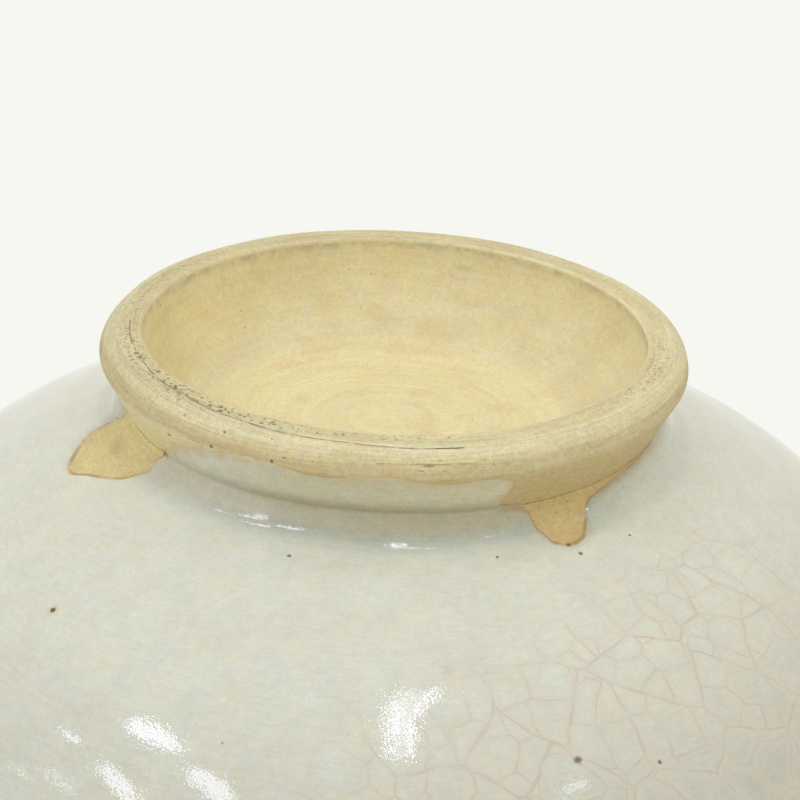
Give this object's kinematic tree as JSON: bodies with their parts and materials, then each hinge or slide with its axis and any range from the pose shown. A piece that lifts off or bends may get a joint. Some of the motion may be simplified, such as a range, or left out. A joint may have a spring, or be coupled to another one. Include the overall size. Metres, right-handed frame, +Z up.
{
  "type": "tea bowl",
  "caption": "Thrown tea bowl of buff clay with a pale crackled glaze, a round belly, a leaning upright wall and an unglazed turned foot ring.",
  "frame": {"origin": "centre of the foot ring's resting face", "axes": "+Z up along the bowl's axis through the mouth; -Y towards the side where the glaze climbs the foot, with the two bare finger marks at its left and right"},
  "size_m": [0.125, 0.125, 0.072],
  "materials": {
    "clay": "unglazed, fine sandy, turned",
    "glaze": "glossy, finely crackled"
  },
  "bodies": {
    "root": {"bowl_body": "clay", "foot_ring": "clay", "outer_glaze": "glaze", "inner_glaze": "glaze"}
  },
  "joints": []
}
